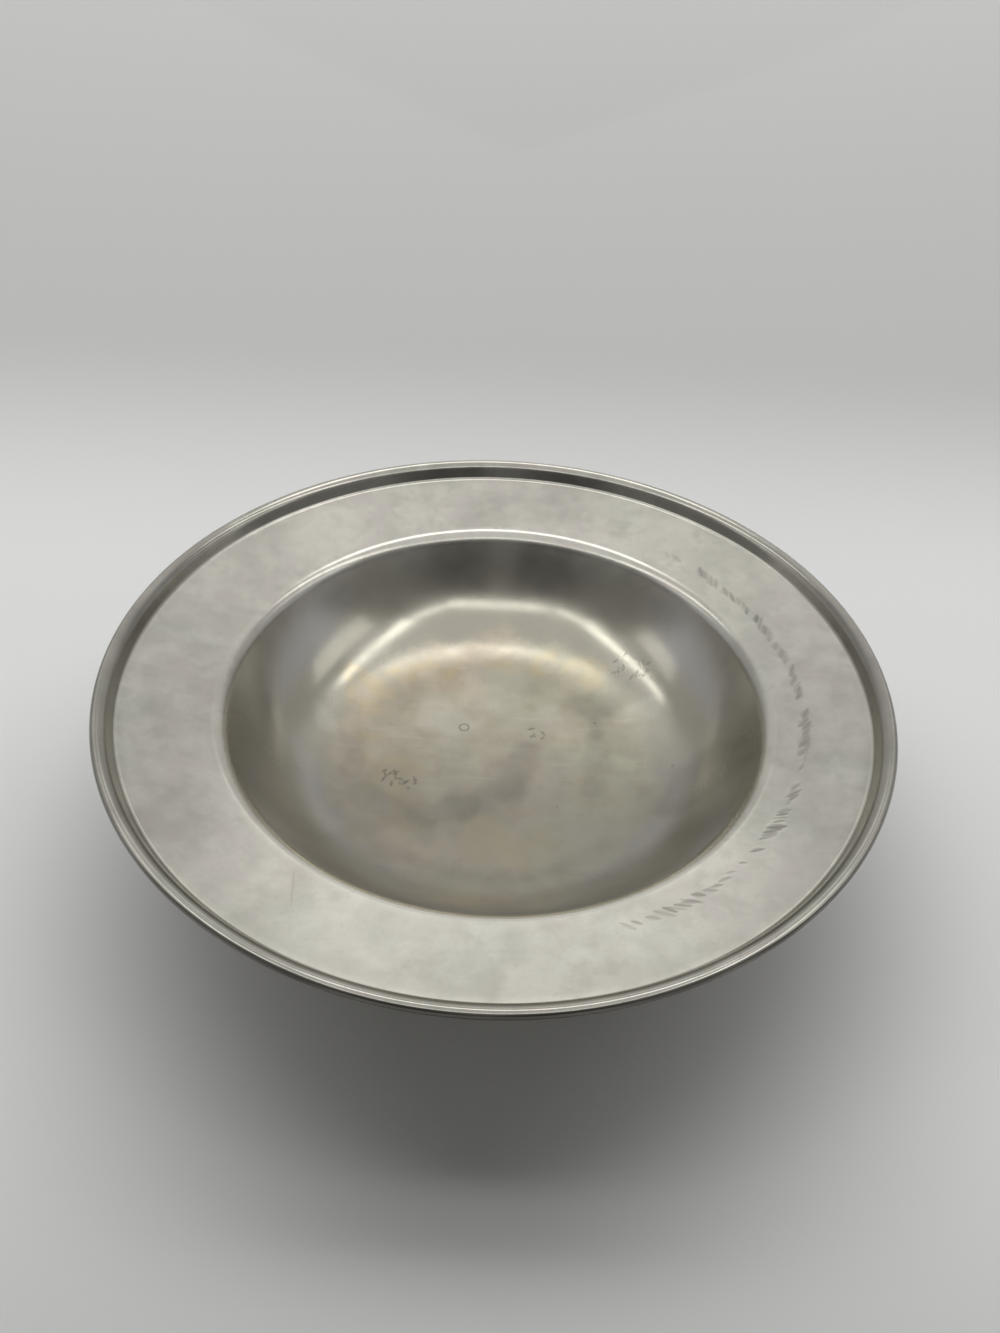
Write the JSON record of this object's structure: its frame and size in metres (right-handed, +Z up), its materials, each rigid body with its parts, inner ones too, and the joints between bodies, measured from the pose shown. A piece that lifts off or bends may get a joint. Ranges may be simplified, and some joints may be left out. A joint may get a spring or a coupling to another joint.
{
  "type": "pewter bowl",
  "caption": "Round pewter bowl with a deep rounded well, a broad sloping brim, a raised rolled rim and a soldered foot ring, for serving food.",
  "frame": {"origin": "middle of the foot ring's flat underside, on the bowl's axis", "axes": "+Z up along the bowl's axis, +X to the right and -Y towards the viewer of the picture"},
  "size_m": [0.24, 0.24, 0.051],
  "materials": {
    "bowl_pewter": "satin pewter, softly tarnished, with fine scratches and scuffs",
    "wire_metal": "drawn wire",
    "foot_pewter": "turned pewter, worn bright where it rests",
    "solder": "dressed solder, a little darker than the pewter"
  },
  "bodies": {
    "root": {"bowl_body": "bowl_pewter", "rim_wire": "wire_metal", "foot_ring": "foot_pewter", "foot_solder_outer": "solder", "foot_solder_inner": "solder"}
  },
  "joints": []
}
